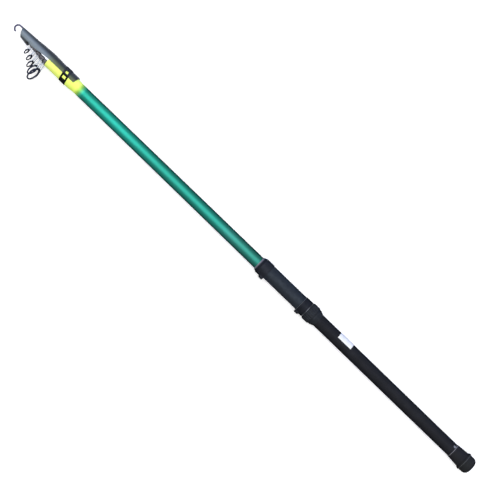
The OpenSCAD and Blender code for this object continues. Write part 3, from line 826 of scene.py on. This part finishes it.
def cover_hook(material):
    """Wire hook: a thick shank that leaves the top of the nose and bends back, with a bead on its end."""
    wire_d, bend_r, bend_turn = 2.9, 6.6, radians(168)
    root_d, end_share, bead_r = 1.15 * wire_d, 0.84, 0.575 * wire_d
    middle = Vector((1136.5, -NOSE_DROP, 0))
    root = Vector((1126.5, middle.y - bend_r, 0))
    swings = steps_to(bend_turn, BEND_STEPS)
    bend = [middle + bend_r * Vector((sin(swing), -cos(swing), 0)) for swing in swings]
    bent = wires("cover_hook", material, root_d, [root] + bend, end_share=end_share)
    shape = bmesh.new()
    shape.from_mesh(bent)
    bead = Matrix.Translation(bend[-1] * MM)
    bmesh.ops.create_uvsphere(shape, u_segments=24, v_segments=16, radius=bead_r * MM, matrix=bead)
    shape.to_mesh(bent)
    shape.free()
    finish_piece(bent, material, "cover", "hook_wire", "cover_hook")


def cover_strap(material):
    """Moulded rubber strap: a slanted band, wide over the cover and close round the mouth, with two windows
    a side."""
    near_r, far_r, thick, edge = 14.75, 13.3, 0.5, 0.25
    half_w, window_half_w, strip = 7.0, 3.5, 0.7
    step_start, step_len = -0.7, 1.2
    degrees_a_row = 3
    # Lower and upper edge of each window in Y, and the first and last column of faces that it takes
    windows = ((-8.6, -3.6, 3, 4), (1.0, 6.0, 2, 5))
    across = [-half_w, -half_w + strip, -window_half_w, -window_half_w + strip, 0, window_half_w - strip,
              window_half_w, half_w - strip, half_w]
    angles = [radians(a) for a in range(0, 360, degrees_a_row)]
    points = []
    for angle in angles:
        # The band steps in from the cover to the mouth just past the cover's edge
        step = eased(clamped((-sin(angle) * near_r - step_start) / step_len))
        r = near_r + (far_r - near_r) * step
        y, z = -r * sin(angle), r * cos(angle)
        for w in across:
            points.append((STRAP_MIDDLE + (w - y * sin(STRAP_SLANT)) / cos(STRAP_SLANT), y, z))
    faces = []
    columns = len(across)
    for face in grid(columns, len(angles), False, True):
        y = sum(points[k][1] for k in face) / len(face)
        column = min(k % columns for k in face)
        if not any(low < y < high and first <= column <= last for low, high, first, last in windows):
            faces.append(face)
    rounding = "BEVEL", {"width": edge * MM, "segments": 2, "limit_method": "ANGLE"}
    walled = modified(mesh_of("cover_strap", points, faces), wall(thick, 1.0), rounding)
    finish_piece(walled, material, "handle", "strap_rubber", "cover_strap")


def label_sticker(material):
    """Bare white sticker on the grip, curved round it."""
    start, length, radius, paper = 306.5, 31.1, 12.97, 0.1
    first_turn, turn = radians(12), radians(98)
    length_steps, turn_steps = 8, 24
    points = []
    for along in steps_to(length, length_steps):
        for swing in steps_to(turn, turn_steps):
            angle = first_turn + swing
            points.append((start + along, -radius * sin(angle), radius * cos(angle)))
    bare = mesh_of("label_sticker", points, grid(turn_steps + 1, length_steps + 1))
    finish_piece(modified(bare, wall(paper, 1.0)), material, "handle", None)


def dress(material, *names):
    """Gives CAD nodes a material."""
    for name in names:
        mesh = nodes[name].data
        mesh.materials.clear()
        mesh.materials.append(material)


# Painted highlights where edges and the cap's rib catch the light: start and end along the rod, and colour
sleeve_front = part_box("butt_sleeve")[1][0]
SLEEVE_HIGHLIGHT = (sleeve_front - 0.9 * MM, sleeve_front + MM, "#7c7c84")
CAP_HIGHLIGHT = (18.3 * MM, 19.2 * MM, "#4d5053")
HOOD_HIGHLIGHT = (426.3 * MM, 428 * MM, "#5d6066")

# Materials of the nodes that keep their CAD shape
NUT_PLASTIC = moulded_plastic("nut_plastic", "#272a2f", "#2f3237")
TRIM_PLASTIC = end_shade("pale_trim_plastic", "#24262e", "#7c7e8a", start=527.5 * MM, end=532 * MM)
COLLAR_STEEL = polished_metal("turned_collar_steel", "#9a9da5", "#c4c7ce", rough=0.26)
RING_CERAMIC = moulded_plastic("polished_ring_ceramic", "#2f3344", "#3d4257", rough=0.2)
dress(butt_lacquer(), "blank")
dress(section_lacquer(), "section_1", "section_2", "section_3", "tip_section")
dress(grip_rubber(), "grip_sleeve")
dress(dull_rubber("foam_sleeve_rubber", "#25262a", "#2d2e31", SLEEVE_HIGHLIGHT), "butt_sleeve")
dress(moulded_plastic("plug_plastic", "#3c3f44", "#4a4d53"), "thread_bush", "butt_plug")
dress(dull_rubber("cork_pad_foam", "#7d766a", "#978f82"), "butt_pad")
dress(moulded_plastic("satin_seat_plastic", "#282d34", "#30353c"), "seat_barrel")
dress(NUT_PLASTIC, "rear_trim")
dress(TRIM_PLASTIC, "front_trim")
dress(polished_metal("turned_slip_steel", "#3c3f45", "#565960"), "slip_ring")
dress(COLLAR_STEEL, *(guide + "_collar" for guide in GUIDES))
dress(RING_CERAMIC, *(guide + "_ring" for guide in GUIDES))

# Pieces that stand in for CAD nodes or are added to them
FRONT_PLASTIC = moulded_plastic("dark_hood_plastic", "#23262c", "#2b2d34")
SLIDING_PLASTIC = moulded_plastic("sliding_hood_plastic", "#1d1f25", "#25272d", line=HOOD_HIGHLIGHT)
FRAME_STEEL = polished_metal("drawn_frame_wire", "#868d9a", "#acb3bf", rough=0.2)
BLACK_STEEL = moulded_plastic("blackened_cradle_wire", "#2d303e", "#393d4c", rough=0.3)
RESIN = moulded_plastic("dark_foot_resin", "#535258", "#6b6a70", rough=0.3)
butt_cap(dull_rubber("butt_cap_rubber", "#282a2c", "#303133", CAP_HIGHLIGHT))
lock_nut(NUT_PLASTIC)
hood("front_hood", FRONT_PLASTIC, "handle", start=507.6, end=525.2, bore=15.1, mouth_at_end=False)
hood("sliding_hood", SLIDING_PLASTIC, "hood", start=411.1, end=426.9, bore=15.3, mouth_at_end=True)
for index, body in enumerate(GUIDE_BODIES):
    guide_frame(index, FRAME_STEEL, BLACK_STEEL, body)
    foot_wrap(index, RESIN, body)
tip_cover(smoked_plastic())
cover_hook(moulded_plastic("coated_hook_wire", "#54546b", "#66667e", rough=0.34, sheen=0.2))
cover_strap(strap_rubber())
label_sticker(moulded_plastic("label_paper", "#f2f2f0", "#fbfbf9", rough=0.5, sheen=0.0))
